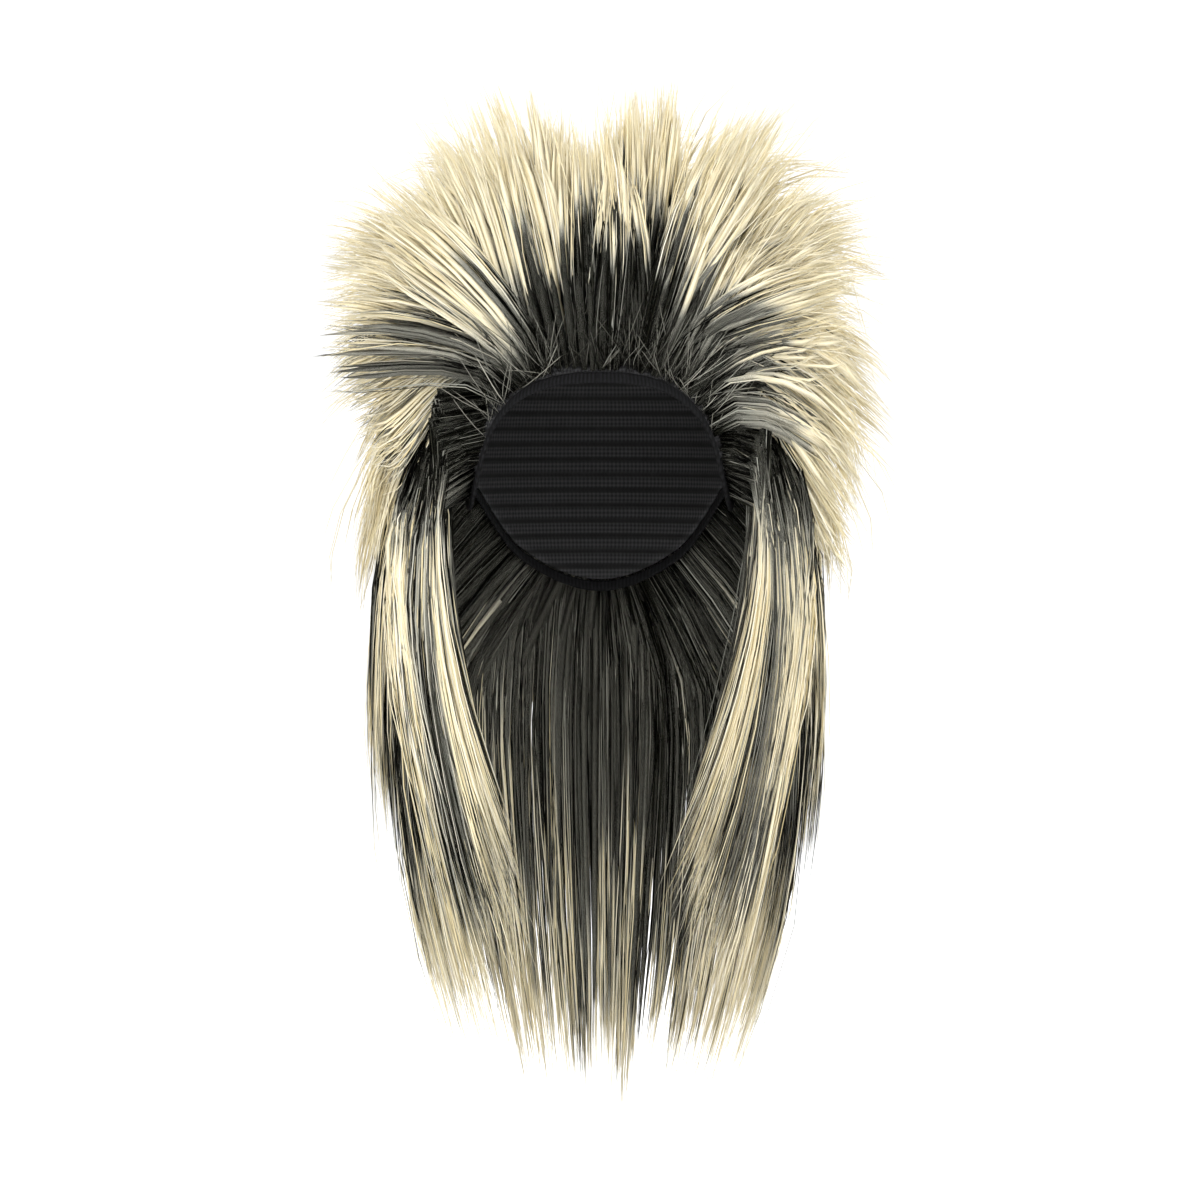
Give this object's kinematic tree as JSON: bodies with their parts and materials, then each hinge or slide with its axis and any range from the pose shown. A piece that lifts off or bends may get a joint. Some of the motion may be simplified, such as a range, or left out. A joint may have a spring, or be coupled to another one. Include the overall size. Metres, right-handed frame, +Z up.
{
  "type": "mullet wig",
  "caption": "Full wig on an open cap: short spikes over the top, wings at the sides, locks that frame the face and layers down the back.",
  "frame": {"origin": "inside top of the cap, where it sits on the crown of a head", "axes": "+Z up, the face opening towards -Y, +X on the viewer's right when facing the wig"},
  "size_m": [0.3199, 0.2191, 0.5856],
  "materials": {
    "cap_net": "dark knitted net",
    "rim_tape": "black elastic tape",
    "hair": "soft synthetic fibre, dark at the root and pale at the tip"
  },
  "bodies": {
    "root": {"cap": "cap_net", "rim_binding": "rim_tape", "crown_spikes": "hair", "brow_spikes": "hair", "wing_left": "hair", "wing_right": "hair", "face_locks_left": "hair", "face_locks_right": "hair", "side_layer_left": "hair", "side_layer_right": "hair", "back_layer": "hair", "nape_layer": "hair"}
  },
  "joints": []
}
